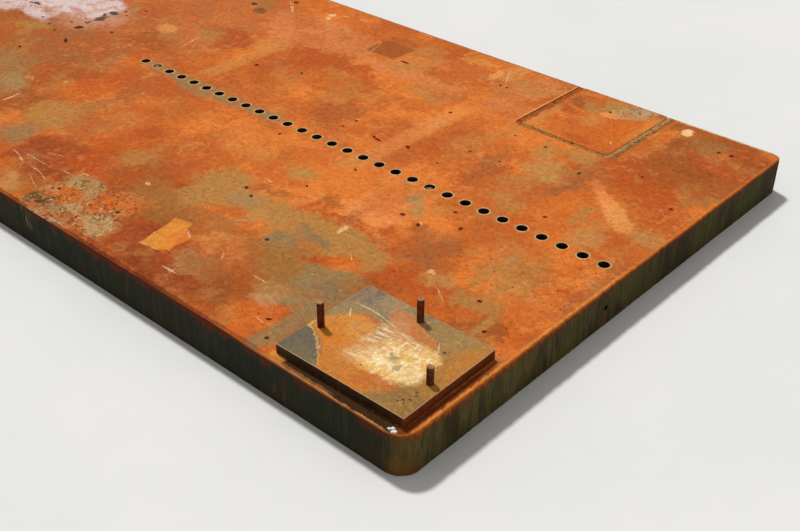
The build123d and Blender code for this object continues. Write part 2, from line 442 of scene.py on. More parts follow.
# Marks with a clear edge
clear_marks = [
    (990, -428, 44, 18, 0.6, 0.85, red_rust, 30), (1022, -402, 38, 20, 0.6, 0.9, orange_rust, 40),
    (956, -450, 26, 10, 0.8, 0.7, brick, 20), (1036, -424, 18, 12, 0.7, 0.7, bright_rust, 60),
    (655, -180, 20, 18, 0.5, 0.7, tan), (985, -105, 62, 15, 0.4, 0.9, tan, -55),
    (945, -85, 14, 24, 0.5, 0.8, grey_scale_and_highlight), (158, -722, 36, 28, 0.8, 0.7, tan),
    (120, -690, 30, 16, 0.4, 0.7, tan, -30), (300, -590, 60, 34, 0.5, 0.75, moss, 6),
    (345, -610, 18, 34, 0.5, 0.7, tan, 10), (300, -655, 42, 30, 0.3, 0.95, orange_rust),
    (497, -690, 44, 40, 0.5, 0.8, moss, -35), (500, -680, 24, 26, 0.5, 0.8, tan, -35),
    (596, -715, 19, 19, 0.4, 0.35, tan), (596, -715, 12, 12, 0.6, 0.6, crimson),
    (776, -725, 19, 19, 0.4, 0.35, tan), (776, -725, 12, 12, 0.6, 0.6, crimson),
    (1250, 286, 40, 13, 0.6, 0.65, pink_rust, -40), (1305, 238, 54, 21, 0.5, 0.75, pale_rust, -40),
    (1354, 200, 52, 28, 0.5, 0.8, peach, -40), (1396, 166, 42, 30, 0.6, 0.7, peach, -40),
    (1478, 150, 46, 36, 0.8, 0.75, tan), (1264, 708, 15, 23, 0.25, 1.0, cream, 8),
    (668, 694, 40, 60, 0.3, 0.7, beige), (637, 655, 15, 42, 0.4, 0.8, peach, 10),
    (262, 652, 56, 26, 0.4, 0.5, brown), (720, 280, 22, 46, 0.5, 0.6, pink_rust),
    (407, 515, 34, 22, 0.5, 0.7, olive, 20), (-597, 235, 16, 20, 0.5, 0.85, moss),
    (-624, 163, 20, 14, 0.5, 0.9, grime_and_shade, -20), (-614, 105, 17, 27, 0.5, 0.8, grime_and_shade),
    (-619, 55, 9, 10, 0.5, 0.8, grime_and_shade), (-601, 8, 16, 12, 0.4, 1.0, dark_red, 30),
    (-900, 38, 26, 7, 0.6, 0.9, grime_and_shade, 10), (-850, -52, 22, 8, 0.6, 0.7, brown, -30),
    (-720, 90, 60, 16, 0.6, 0.6, rose, -10), (-385, 203, 38, 33, 0.6, 0.6, peach),
    (-285, 522, 32, 22, 0.6, 0.7, umber, -20), (-350, 553, 13, 10, 0.5, 0.9, grime_and_shade, -40),
    (-372, -324, 24, 9, 0.7, 0.7, pink_rust, -10), (-264, -268, 6, 5, 0.6, 0.9, cream, -30),
    (-79, 662, 13, 11, 0.4, 0.8, cream), (-66, 634, 12, 9, 0.4, 0.8, cream, -30),
    (407, -482, 7, 5, 0.6, 0.9, cream), (923, -306, 7, 20, 0.5, 0.7, cream, 10),
    (1406, -382, 9, 46, 0.6, 0.7, tan), (1195, -300, 12, 7, 0.5, 0.6, cream),
]

# The white chalky patch at the far end: x, y, reach x, reach y, softness, strength, turn
chalk_marks = [
    (-760, 150, 125, 95, 0.5, 1.0, 20), (-690, 195, 56, 46, 0.6, 1.0, 0), (-680, 110, 46, 50, 0.7, 0.9, 20),
    (-900, 70, 130, 50, 0.6, 1.0, 25), (-860, -10, 120, 28, 0.8, 0.8, -10),
    (-960, -20, 60, 60, 0.6, 0.8, 0), (-1080, 80, 150, 110, 0.5, 1.0, 0), (-800, 20, 60, 44, 0.7, 0.75, 0),
]

# Marks with straight edges
square_marks = [
    (718, 200, 32, 225, 0.8, 0.40, peach), (784, 200, 36, 210, 0.8, 0.35, brick),
    (-8, 220, 30, 180, 0.35, 0.45, beige), (270, 578, 60, 52, 0.14, 0.8, russet),
    (398, 613, 63, 81, 0.35, 0.32, tan), (447, 698, 20, 50, 0.3, 0.75, red_rust),
    (630, -599, 25, 64, 0.12, 0.85, amber, 12), (648, -602, 25, 57, 0.12, 0.85, amber, 26),
    (668, -604, 23, 40, 0.2, 0.8, bright_rust), (650, -640, 34, 20, 0.3, 0.6, amber, 15),
    (1105, -640, 24, 86, 0.6, 0.85, grey_scale_and_highlight), (1098, -738, 20, 24, 0.4, 0.8, grey_scale_and_highlight),
    # The dark strip in front of the pad's near face is grime with the pad's shadow painted into it
    (1337, -744, 165, 12, 0.3, 0.95, grime_and_shade), (1250, -753, 70, 5, 0.6, 0.6, olive_brown),
    # The tan line along the near edge in front of the pad is pale worn rust with a painted highlight on the
    # arris
    (1165, -745, 22, 12, 0.5, 0.85, yellow_rust), (1320, -758, 170, 2.5, 0.8, 0.8, tan),
    (1506, -620, 9, 150, 0.7, 0.8, dark_red), (1517, -380, 5, 380, 0.6, 0.7, yellow_rust),
    (1519, 300, 4, 400, 0.6, 0.5, bright_rust), (560, -755, 540, 7, 0.9, 0.7, dark_red),
    # The pale line beside the notch's left edge is a painted highlight on its lip, and the pale lines along
    # the back edge are painted highlights on the far arris
    (866, 600, 3, 160, 0.9, 0.8, peach), (980, 758, 540, 4, 0.7, 0.6, grey_scale_and_highlight),
    (1340, 757, 160, 2.5, 0.9, 0.8, cream), (100, 758, 330, 5, 0.7, 0.5, grey_scale_and_highlight),
]

# Loose grey and white crust with rust between, beside the near edge and over the seam
crust_marks = [
    (300, -594, 66, 36, 0.6, 0.9, 0), (345, -712, 112, 48, 0.5, 0.95, 0), (320, -655, 70, 50, 0.6, 0.9, 0),
    (410, -690, 60, 54, 0.7, 0.85, 0), (255, -680, 24, 66, 0.7, 0.8, 0),
    (482, -692, 62, 46, 0.5, 0.95, -30), (440, -606, 76, 62, 0.6, 0.8, 0),
    (1105, 740, 66, 26, 0.6, 0.7, 10), (1062, 700, 44, 36, 0.8, 0.6, 30), (940, 752, 60, 10, 0.6, 0.6, 0),
]

# The inset's own marks
inset_marks = [
    (1100, 520, 90, 90, 0.6, 0.7, orange_rust), (1032, 590, 34, 36, 0.9, 0.6, beige),
    (1110, 600, 60, 80, 0.6, 0.7, orange_rust), (1060, 470, 50, 20, 0.5, 0.6, red_rust),
    (956, 682, 56, 48, 0.4, 0.85, brown), (958, 700, 30, 26, 0.5, 0.85, rust),
    (985, 660, 40, 26, 0.5, 0.7, olive, -40), (1025, 715, 34, 46, 0.5, 0.85, olive),
    (930, 610, 40, 20, 0.6, 0.7, brick, -20), (1058, 664, 44, 22, 0.35, 0.85, peach, 30),
    (1090, 705, 58, 40, 0.4, 0.85, sand, 40), (905, 560, 16, 60, 0.6, 0.5, tan),
    # The dark line along the inset's left edge is painted shade in the narrow seam
    (887, 600, 5, 200, 0.9, 0.75, crimson), (1166, 690, 7, 50, 0.8, 0.5, beige),
    (1160, 620, 12, 100, 0.6, 0.5, yellow_rust), (940, 448, 50, 10, 0.5, 0.6, olive),
]

# Islands inside the crust: rust, khaki and pale green, a sooty one, and whitish ones along the edge
crust_islands = [
    (300, -590, 56, 30, 0.4, 0.9, khaki), (272, -712, 46, 30, 0.4, 0.9, umber),
    (330, -702, 34, 16, 0.5, 0.8, blue_scale, -20), (374, -682, 24, 32, 0.5, 0.9, sand),
    (455, -640, 16, 30, 0.6, 0.6, moss, 20), (312, -657, 44, 38, 0.3, 0.95, rust),
    (432, -590, 32, 34, 0.4, 0.85, orange_rust), (414, -637, 40, 26, 0.4, 0.9, orange_rust, -20),
    (498, -622, 14, 52, 0.4, 0.9, orange_rust), (412, -722, 30, 18, 0.4, 0.9, rose),
    (350, -742, 26, 14, 0.4, 0.8, rose), (486, -690, 44, 36, 0.25, 1.0, sand, -30),
    (400, -752, 60, 9, 0.6, 0.8, ash), (296, -754, 36, 8, 0.6, 0.8, ash),
    (1100, 728, 40, 30, 0.5, 0.9, ash, 20), (1050, 676, 30, 14, 0.5, 0.8, peach, 40),
]

# Nicks and small dark spots: x, y, reach x, reach y, and a turn if any
nicks = [
    (-1260, 330, 9, 5, 20), (-1100, -640, 7, 5), (-1410, -300, 8, 4, -30), (-930, -240, 6, 5),
    (-1340, 640, 7, 4), (-1010, 330, 5, 5), (-880, 560, 8, 4, 40), (-1190, -110, 6, 5), (-640, 140, 7, 5),
    (-652, 70, 5, 4), (-630, 128, 6, 8), (-606, 200, 5, 7), (-660, 20, 7, 4), (-700, -40, 6, 4),
    (-560, 250, 5, 5), (-575, 180, 4, 4), (-770, -20, 6, 4), (-640, -60, 6, 5), (665, 92, 18, 3.5, -8),
    (646, 98, 6, 4), (755, 115, 10, 5, -30), (545, 135, 6, 4), (540, 86, 5, 4), (702, 357, 6, 5),
    (893, 210, 4, 4), (925, 368, 4, 3), (-252, 662, 10, 9), (52, 204, 8, 7, -20), (197, 257, 7, 4, -30),
    (605, -327, 8, 5, -30), (645, -347, 7, 4, -30), (980, -157, 7, 6), (1040, -168, 8, 5, -50),
    (1068, -62, 6, 5), (1125, -112, 5, 7), (447, -66, 4, 7, 20), (1176, 309, 4, 8), (1446, 312, 6, 5),
    (1306, 405, 4, 4), (1240, 70, 6, 4), (872, 100, 5, 3), (1420, -395, 5, 5), (1060, -668, 7, 4, 30),
    (1105, -715, 5, 5), (-600, -214, 9, 4, -20), (1345, -315, 6, 5), (692, 603, 6, 4, -40),
    (717, 603, 5, 4), (-488, 57, 9, 5, -20), (1026, 370, 5, 4), (-538, -86, 18, 6, -35), (371, 534, 18, 5),
    (1420, 668, 7, 6), (1385, 662, 6, 5), (825, -458, 6, 5), (268, -650, 6, 5), (470, -620, 5, 5),
    (1035, 672, 6, 4, -40), (740, -73, 7, 3, -30), (710, -218, 6, 3, -30), (985, 220, 3, 3),
    (1010, 208, 3, 3),
]

# Scratches: the ends' x and y in mm, and the width
scratches = [
    (-1350, 200, -1180, 240, 3), (-1300, -350, -1240, -420, 4), (-1080, -560, -960, -600, 3),
    (-1250, 560, -1150, 520, 4), (-900, -120, -820, -170, 3), (-1420, -560, -1400, -640, 4),
    (-277, 658, -191, 584, 5), (-262, 656, -182, 580, 3), (-56, 676, 0, 700, 5), (0, 698, 56, 707, 4),
    (3, -610, 40, -620, 4), (40, -620, 83, -634, 4), (110, -632, 160, -634, 4), (160, -634, 200, -646, 3),
    (40, -602, 137, -600, 2.5), (190, -590, 226, -586, 4), (735, -692, 785, -692, 4),
    (911, -579, 960, -580, 3), (1025, -682, 1080, -682, 3), (655, -556, 690, -578, 4),
    (790, -560, 815, -590, 2), (80, -560, 140, -540, 2), (1000, -360, 1060, -410, 2),
    (-295, -405, -288, -468, 8), (150, -660, 230, -690, 2), (280, -740, 330, -700, 3),
    (240, -562, 290, -560, 4), (1030, -150, 1046, -166, 6), (215, 600, 240, 500, 2),
    (-220, 190, -160, 100, 2), (-255, 235, -225, 130, 4), (-60, 300, -20, 330, 3),
    (1135, 520, 1146, 505, 4), (621, -667, 682, -655, 2.5), (619, -668, 606, -604, 2.5),
    (600, -260, 630, -266, 4), (1230, -330, 1290, -370, 2), (700, 620, 650, 700, 3),
]

# Bare metal from hole to hole at the far end of the row: x, y, reach x, reach y
far_hole_band = [
    (-130, -12, 66, 24), (-40, -16, 80, 26), (70, -24, 110, 38), (190, -14, 90, 30), (290, -11, 80, 25),
    (350, -11, 50, 22),
]


def weathered(finish):
    """Breaks any field up with blotches of red, beige, pale and grey rust, strong in some parts only."""
    parts = finish.step(finish.cloud(0.26, detail=3, shift=20.0), 0.40, 0.62)
    others = finish.math("SUBTRACT", 1.0, parts)
    finish.mottle(red_rust, 0.16, 0.46, 0.62, 0.45, 8, 0.62, shift=15.0)
    finish.mottle(tan, 0.13, 0.52, 0.66, 0.35, 8, 0.62, shift=3.1)
    finish.mottle(red_rust, 0.050, 0.50, 0.64, 0.45, 7, 0.7, parts)
    finish.mottle(mauve, 0.085, 0.53, 0.66, 0.40, 7, 0.7, others, shift=11.3)
    finish.mottle(peach, 0.030, 0.53, 0.66, 0.35, 6, 0.7, parts, shift=7.7)
    finish.mottle(dark_rust, 0.014, 0.56, 0.70, 0.35, 5, 0.7, others, shift=1.3)


def crust_colour(finish, box):
    """Broken crust: rusty, khaki and pale islands, with dark and pale veins and pits between them."""
    under, finish.colour = finish.colour, orange_rust
    finish.mottle(shade(176, 130, 72), 0.060, 0.44, 0.56, detail=6, shift=8.0)
    finish.mottle(tan, 0.030, 0.52, 0.62, 0.7, detail=6, shift=2.0)
    finish.paint(crust_islands, box)
    for size, shift, reach, tone in (
        (0.095, 3.0, 0.020, shade(74, 52, 28)),
        (0.070, 7.0, 0.014, shade(196, 170, 126)),
    ):
        cloud = finish.cloud(size, detail=6, roughness=0.6, shift=shift)
        from_vein = finish.math("ABSOLUTE", finish.math("SUBTRACT", cloud, 0.5))
        finish.coat(finish.step(from_vein, reach, reach / 4, 0.75), tone)
    finish.mottle(shade(58, 42, 24), 0.018, 0.60, 0.66, 0.85, shift=4.4)
    finish.mottle(shade(214, 190, 150), 0.016, 0.63, 0.68, 0.7, shift=14.4)
    crust, finish.colour = finish.colour, under
    return crust


def hole_rims(finish, worn, fine_swirl):
    """Bare grey metal round the drilled holes, with a broken bright ring, one band at the far ones."""
    finish.stir(fine_swirl, 12 * MM)
    for patch in far_hole_band:
        finish.coat(finish.both(finish.spot(*patch, soft=0.5, strength=0.85), worn), shade(150, 119, 76))
    finish.stir(fine_swirl, 3 * MM)
    along = finish.vector_math("DOT_PRODUCT", finish.views[0], (1, 0, 0))
    aside = finish.vector_math("DOT_PRODUCT", finish.views[0], (0, 1, 0))
    along = finish.math("PINGPONG", finish.math("SUBTRACT", along, first_hole.x), hole_pitch / 2)
    aside = finish.math("SUBTRACT", aside, first_hole.y)
    radius = finish.math("SQRT", finish.math("MULTIPLY_ADD", along, along, finish.both(aside, aside)))
    half_pitch = round(hole_pitch / 2 / MM)
    row_end = first_hole.x / MM
    row_start = row_end - (hole_count - 1) * hole_pitch / MM
    in_row = finish.spot((row_start + row_end) / 2, first_hole.y / MM, (row_end - row_start) / 2 + half_pitch,
                         half_pitch, soft=0.02, square=True)
    ring = finish.both(in_row, finish.step(radius, 24 * MM, 18 * MM, 0.8))
    finish.coat(finish.both(ring, worn), olive)
    lip = finish.both(in_row, finish.step(radius, 18 * MM, 15.5 * MM, 0.75))
    finish.coat(lip, shade(208, 176, 130))


def top_finish(name, box, own_marks=()):
    """The rusted top inside a box, with every field, mark and scratch that reaches into it."""
    finish = Finish(name, 0.9, rust, flat=True)
    finish.mottle(bright_rust, 0.25, 0.42, 0.60)
    broad_swirl = finish.swirl(0.10)
    fine_swirl = finish.swirl(0.018, detail=5)
    worn = finish.step(finish.cloud(0.03, detail=6, roughness=0.75, shift=5.5), 0.37, 0.50)
    finish.stir(broad_swirl, 58 * MM)
    finish.paint(broad_fields, box)
    weathered(finish)
    finish.stir(broad_swirl, 34 * MM)
    finish.paint(scale_marks, box, finish.math("MULTIPLY_ADD", worn, 0.35, 0.6))
    finish.stir(fine_swirl, 9 * MM)
    white = reaching(chalk_marks, box)
    if white:
        powder = finish.blotches(chalk, shade(196, 146, 118), 0.06, 0.50, 0.64, 0.8, 8, 0.7, shift=6.0)
        thinned = finish.step(finish.cloud(0.08, detail=8, roughness=0.72, shift=12.0), 0.33, 0.48)
        finish.paint([(*mark, powder, turn) for *mark, turn in white], box, thinned)
    finish.paint(own_marks or clear_marks, box)
    finish.stir(fine_swirl, 3 * MM)
    if not own_marks:
        finish.paint(square_marks, box, square=True)
    crusted = reaching(crust_marks, box)
    if crusted:
        finish.stir(fine_swirl, 12 * MM)
        crust = crust_colour(finish, box)
        finish.paint([(*mark, crust, turn) for *mark, turn in crusted], box, worn)
        finish.stir(fine_swirl, 3 * MM)
    if box[2] <= 0 <= box[3]:
        hole_rims(finish, worn, fine_swirl)

    # Scratches, nicks and specks
    for scratch in scratches:
        if touches(*scratch[:2], 40, box):
            finish.coat(finish.both(finish.scratch(*scratch), worn), pale_scratch)
    finish.settle()
    pits = 0.0
    for nick in nicks:
        if touches(*nick[:2], 20, box):
            mask = finish.spot(*nick, soft=0.6, strength=0.95)
            finish.coat(mask, shade(80, 22, 6))
            pits = finish.math("MAXIMUM", mask, pits)
    specks = finish.specks(0.021, 0.0026, 0.5)
    some = finish.step(finish.cloud(0.15, detail=3, shift=31.0), 0.44, 0.58, 0.75)
    finish.coat(finish.both(specks, some), dark_red)
    finish.coat(finish.both(finish.specks(0.030, 0.0020, 0.10, shift=9.4), 0.45), cream)

    # Grain over everything, duller where the rust is grey
    grain = finish.cloud(0.0035, detail=4, roughness=0.75)
    lumps = finish.cloud(0.014, detail=5, roughness=0.7, shift=2.2)
    finish.grainy(grain, 0.27)
    finish.grainy(lumps, 0.24)
    height = finish.math("MULTIPLY_ADD", grain, 0.35, finish.both(lumps, 0.5))
    height = finish.math("SUBTRACT", height, finish.both(pits, 0.8))
    hue = finish.node("ShaderNodeSeparateColor", mode="HSV")
    finish.feed(hue.inputs[0], finish.colour)
    roughness = finish.blend(finish.step(hue.outputs[1], 0.92, 0.6), 0.92, 0.66)
    return finish.close(height, 1.6 * MM, roughness)


def underside_finish():
    """The face the plate lies on: old scale and dull rust."""
    finish = Finish("underside", 0.85, shade(74, 54, 38), flat=True)
    finish.mottle(shade(104, 62, 36), 0.12, 0.42, 0.60, detail=6)
    finish.mottle(shade(58, 56, 46), 0.05, 0.50, 0.62, 0.8, detail=6, shift=4.0)
    finish.mottle(rust, 0.02, 0.60, 0.70, 0.5, detail=6, shift=9.0)
    return finish.grained(0.004, 0.2, 1.2 * MM)


def mill_edge(finish, along, aside, height):
    """The long sides: dark greenish scale, with red-brown rust under the top edge and a few pale drips."""
    finish.colour = shade(36, 39, 24)
    finish.mottle(shade(52, 38, 24), 0.16, 0.46, 0.62, 0.8, stretch=(1, 1, 0.5))
    streaks = finish.cloud(0.016, detail=5, roughness=0.65, stretch=(1, 1, 0.07), shift=2.0)
    finish.coat(finish.step(streaks, 0.52, 0.66, 0.6), shade(26, 29, 20))
    finish.coat(finish.step(streaks, 0.46, 0.34, 0.5), shade(60, 56, 36))
    runs = finish.cloud(0.05, detail=7, roughness=0.72, stretch=(1, 1, 0.12), shift=4.0)
    over = finish.math("ADD", height, finish.step(runs, 0.40, 0.64, 0.020))
    finish.coat(finish.step(over, top - 0.010, top + 0.004, 0.95), shade(84, 36, 12))
    middle = finish.both(finish.step(along, 0.35, 0.6), finish.step(along, 1.15, 0.95))
    low = finish.math("ADD", height, finish.step(runs, 0.45, 0.6, 0.016))
    finish.coat(finish.both(middle, finish.step(low, top - 0.012, top, 0.65)), shade(98, 34, 10))
    drips = finish.both(
        finish.step(finish.cloud(0.005, stretch=(1, 1, 0.06), shift=7), 0.54, 0.62, 0.75),
        finish.step(along, 0.262, 0.27), finish.step(along, 0.318, 0.305),
        finish.step(height, 0.04, 0.055), finish.step(aside, 0.1, -0.1),
    )
    finish.coat(drips, shade(146, 118, 76))
    finish.mottle(shade(110, 58, 24), 0.022, 0.62, 0.70, 0.5, stretch=(1, 1, 0.4), shift=5.0)
    lip = finish.mix(finish.step(along, 1.0, 1.15), shade(62, 28, 12), shade(150, 88, 44))
    finish.coat(finish.step(height, top - 0.0030, top - 0.0004, 0.9), lip)
    return finish.colour


def flame_cut(finish, aside, height, streaks):
    """The flame-cut ends: upright drag lines in olive-brown scale, and an orange melted top edge."""
    finish.colour = shade(74, 68, 32)
    finish.mottle(shade(52, 42, 22), 0.14, 0.44, 0.58, 0.9, stretch=(1, 1, 0.4))
    finish.mottle(shade(84, 80, 34), 0.05, 0.56, 0.68, 0.5, stretch=(1, 1, 0.3), shift=6.0)
    near_part = finish.step(aside, 0.1, -0.35)
    pale = finish.step(finish.cloud(0.03, detail=5, stretch=(1, 1, 0.25), shift=14.0), 0.42, 0.58, 0.7)
    finish.coat(finish.both(near_part, pale), shade(100, 86, 44))
    finish.coat(finish.step(streaks, 0.52, 0.64, 0.7), shade(28, 22, 12))
    finish.coat(finish.step(streaks, 0.47, 0.36, 0.45), shade(86, 74, 42))
    finish.mottle(shade(100, 54, 20), 0.014, 0.57, 0.68, 0.5, stretch=(1, 1, 0.10), shift=3.0)
    runs = finish.cloud(0.006, detail=6, roughness=0.72, stretch=(1, 1, 0.10), shift=4.0)
    share = finish.math("MULTIPLY_ADD", near_part, 0.7, 0.3)
    reach = finish.both(finish.step(runs, 0.40, 0.68, 0.016), share)
    under = finish.math("ADD", height, reach)
    finish.coat(finish.step(under, top - 0.018, top - 0.002, 0.75), shade(104, 50, 16))
    finish.coat(finish.step(under, top - 0.006, top + 0.006, 0.85), shade(170, 82, 24))
    finish.coat(finish.step(height, top - 0.005, top - 0.001, 0.8), shade(190, 98, 34))
    below_hole = finish.step(height, end_hole.z - 0.004, end_hole.z - 0.012)
    beside = finish.math("ABSOLUTE", finish.math("SUBTRACT", aside, end_hole.y))
    finish.coat(finish.both(below_hole, finish.step(beside, 0.010, 0.003, 0.7)), shade(110, 56, 20))
    return finish.colour


def side_finish():
    """All upright faces: mill edge on the long sides, flame cut round the corners and on the ends."""
    finish = Finish("plate_sides", 0.8)
    along, aside, height = finish.heights()
    streaks = finish.cloud(0.005, detail=5, roughness=0.7, stretch=(1, 1, 0.05), shift=2.0)
    ragged = finish.cloud(0.03, detail=5, stretch=(1, 1, 0.3), shift=9.0)
    ragged = finish.math("MULTIPLY_ADD", ragged, 0.05, -0.025)
    from_end = finish.math("SUBTRACT", end_x, finish.math("ABSOLUTE", finish.math("ADD", along, ragged)))
    on_end = finish.step(from_end, 0.040, 0.014)
    rolled = mill_edge(finish, along, aside, height)
    finish.colour = finish.mix(on_end, rolled, flame_cut(finish, aside, height, streaks))
    corner = finish.both(finish.step(aside, -0.700, -0.730), finish.step(from_end, 0.055, 0.03))
    finish.coat(finish.both(corner, finish.step(streaks, 0.44, 0.58, 0.5)), shade(110, 76, 28))
    finish.coat(finish.both(corner, finish.step(height, 0.050, 0.020, 0.45)), shade(120, 70, 24))
    grain = finish.cloud(0.0038, detail=4, roughness=0.7)
    finish.grainy(grain, 0.22)
    return finish.close(finish.math("MULTIPLY_ADD", grain, 0.4, finish.both(streaks, 0.6)), 1.5 * MM)


def hole_finish():
    """Inside the drilled holes: dark rust, with painted shade that darkens it to almost black lower down."""
    finish = Finish("hole_wall", 0.8, shade(84, 52, 28))
    finish.mottle(shade(40, 28, 18), 0.010, 0.42, 0.58)
    # Painted shade: the wall darkens with depth to almost black
    finish.coat(finish.step(finish.heights()[2], top - 0.003, top - 0.016, 0.92), hole_shade)
    return finish.close(finish.cloud(0.003), 0.8 * MM)


def seam_wall_finish():
    """The walls of the notch and its groove: brown rust."""
    finish = Finish("seam_wall", 0.85, shade(150, 84, 38))
    finish.mottle(shade(96, 54, 24), 0.012, 0.42, 0.60, detail=6)
    return finish.close(finish.cloud(0.003), 1.0 * MM)


def weld_finish():
    """Old weld metal: pale olive-grey on the right leg, brown on the near one, red-brown on the left."""
    finish = Finish("weld", 0.8, shade(158, 112, 58))
    finish.mottle(shade(130, 88, 42), 0.022, 0.42, 0.58, detail=6)
    finish.stir(finish.swirl(0.02, detail=4), 4 * MM)
    box = plan_box(weld_low, weld_high)
    left, right, near, _ = box
    legs = [
        (right - 19, 610, 7, 190, 0.6, 0.8, shade(190, 136, 84)),
        ((left + right) / 2 - 30, near + 8, 140, 26, 0.3, 0.9, shade(178, 110, 48)),
        (left + 2, 600, 24, 190, 0.3, 0.95, shade(160, 80, 22)),
    ]
    finish.paint(legs, box, square=True)
    finish.mottle(shade(64, 40, 18), 0.012, 0.55, 0.61, 0.85, 6, 0.7, shift=3.0)
    finish.mottle(shade(196, 150, 92), 0.010, 0.58, 0.66, 0.6, shift=9.0)
    return finish.grained(0.003, 0.25, 1.4 * MM)


# The pad's own marks, in the same form as the top's
pad_fields = [
    (1205, -482, 90, 50, 0.4, 0.9, shade(146, 124, 94)), (1178, -482, 38, 34, 0.6, 0.9, shade(116, 108, 96)),
    (1240, -480, 34, 30, 0.7, 0.8, shade(164, 136, 100)), (1160, -520, 24, 40, 0.6, 0.7, shade(134, 110, 94)),
    (1195, -560, 50, 40, 0.5, 0.9, shade(146, 124, 86)), (1230, -545, 40, 24, 0.5, 0.6, shade(158, 130, 84)),
    (1440, -500, 80, 60, 0.5, 0.9, shade(174, 128, 68)), (1475, -590, 40, 120, 0.5, 0.9, shade(178, 122, 50)),
    (1494, -530, 34, 70, 0.9, 0.7, shade(200, 126, 50)),
    (1412, -548, 12, 44, 0.6, 0.6, shade(140, 116, 78), 30),
    (1395, -480, 56, 34, 0.5, 0.9, shade(158, 124, 74)), (1455, -705, 66, 50, 0.4, 0.95, shade(150, 112, 56)),
    (1310, -510, 52, 30, 0.4, 0.9, shade(200, 126, 70), -15),
    (1355, -525, 56, 18, 0.4, 0.9, shade(202, 118, 62), -8),
    (1238, -552, 36, 16, 0.5, 0.85, shade(192, 104, 52)),
    (1232, -610, 62, 58, 0.25, 1.0, shade(212, 134, 46), -30),
    (1205, -628, 52, 32, 0.25, 1.0, shade(208, 128, 44), -36),
    (1272, -670, 62, 56, 0.25, 1.0, shade(212, 122, 30), -30),
    (1330, -700, 84, 44, 0.2, 1.0, shade(204, 120, 38)),
    (1385, -690, 52, 26, 0.4, 0.9, shade(198, 108, 38), 30),
    (1300, -640, 40, 46, 0.7, 0.7, shade(216, 144, 70)), (1250, -585, 30, 34, 0.8, 0.6, shade(220, 146, 70)),
    (1158, -638, 11, 8, 0.6, 0.8, shade(224, 158, 62), -40),
]
grey_corner = [
    (1186, -708, 84, 48, 0.35, 1.0, shade(110, 97, 78), -40),
    (1222, -722, 44, 18, 0.8, 0.6, shade(122, 108, 72), -30),
]
corner_line = [
    (1150, -632, 1182, -654, 7), (1180, -652, 1206, -668, 6), (1204, -666, 1240, -702, 4),
    (1238, -700, 1268, -730, 4),
]
bright_fields = [
    (1375, -606, 74, 58, 0.35, 1.0, shade(228, 172, 98), -12),
    (1400, -580, 44, 40, 0.4, 0.9, shade(244, 190, 112)),
    (1350, -650, 60, 24, 0.7, 0.9, shade(240, 190, 108)),
    (1412, -628, 40, 34, 0.7, 0.9, shade(244, 210, 144), -20),
    (1345, -615, 36, 36, 0.9, 0.9, shade(246, 214, 152)), (1385, -590, 18, 14, 0.9, 0.6, shade(232, 188, 84)),
    (1326, -602, 16, 14, 0.7, 0.7, shade(228, 158, 82)), (1300, -532, 26, 30, 0.8, 0.6, shade(208, 150, 100)),
    (1340, -552, 56, 16, 0.4, 0.85, shade(212, 150, 88), -4),
]

# The pad's smudges, scratches and pits, in the form of the top's nicks and scratches
pad_smudges = [(1364, -612, 9, 15, -40), (1388, -629, 9, 12, 20), (1354, -604, 7, 5)]
pad_scratches = [
    (1185, -524, 1225, -522, 3.5), (1222, -522, 1262, -526, 3.5), (1260, -526, 1300, -534, 3),
    (1320, -541, 1356, -547, 4), (1354, -547, 1392, -546, 4), (1276, -575, 1314, -565, 7),
    (1277, -602, 1306, -592, 8), (1279, -661, 1324, -650, 8), (1280, -556, 1304, -549, 5),
    (1284, -586, 1308, -579, 5), (1288, -640, 1318, -633, 5), (1355, -584, 1392, -566, 4),
    (1330, -560, 1380, -556, 3), (1402, -612, 1430, -640, 3.5), (1398, -512, 1420, -545, 3),
    (1410, -600, 1440, -632, 3), (1182, -545, 1204, -572, 3),
]
pad_pits = [
    (1465, -659, 4.5, 2), (1472, -668, 2, 3.5), (1462, -676, 3, 1.6), (1470, -684, 5, 2),
    (1461, -692, 4, 2.5), (1455, -702, 2, 3), (1468, -700, 2.5, 1.5), (1447, -690, 2, 1.5),
    (1446, -713, 3, 1.4), (1329, -671, 3, 2), (1426, -530, 3, 4), (1420, -541, 1.5, 3),
    (1432, -522, 2, 1.5), (1300, -688, 2.5, 1.5),
]


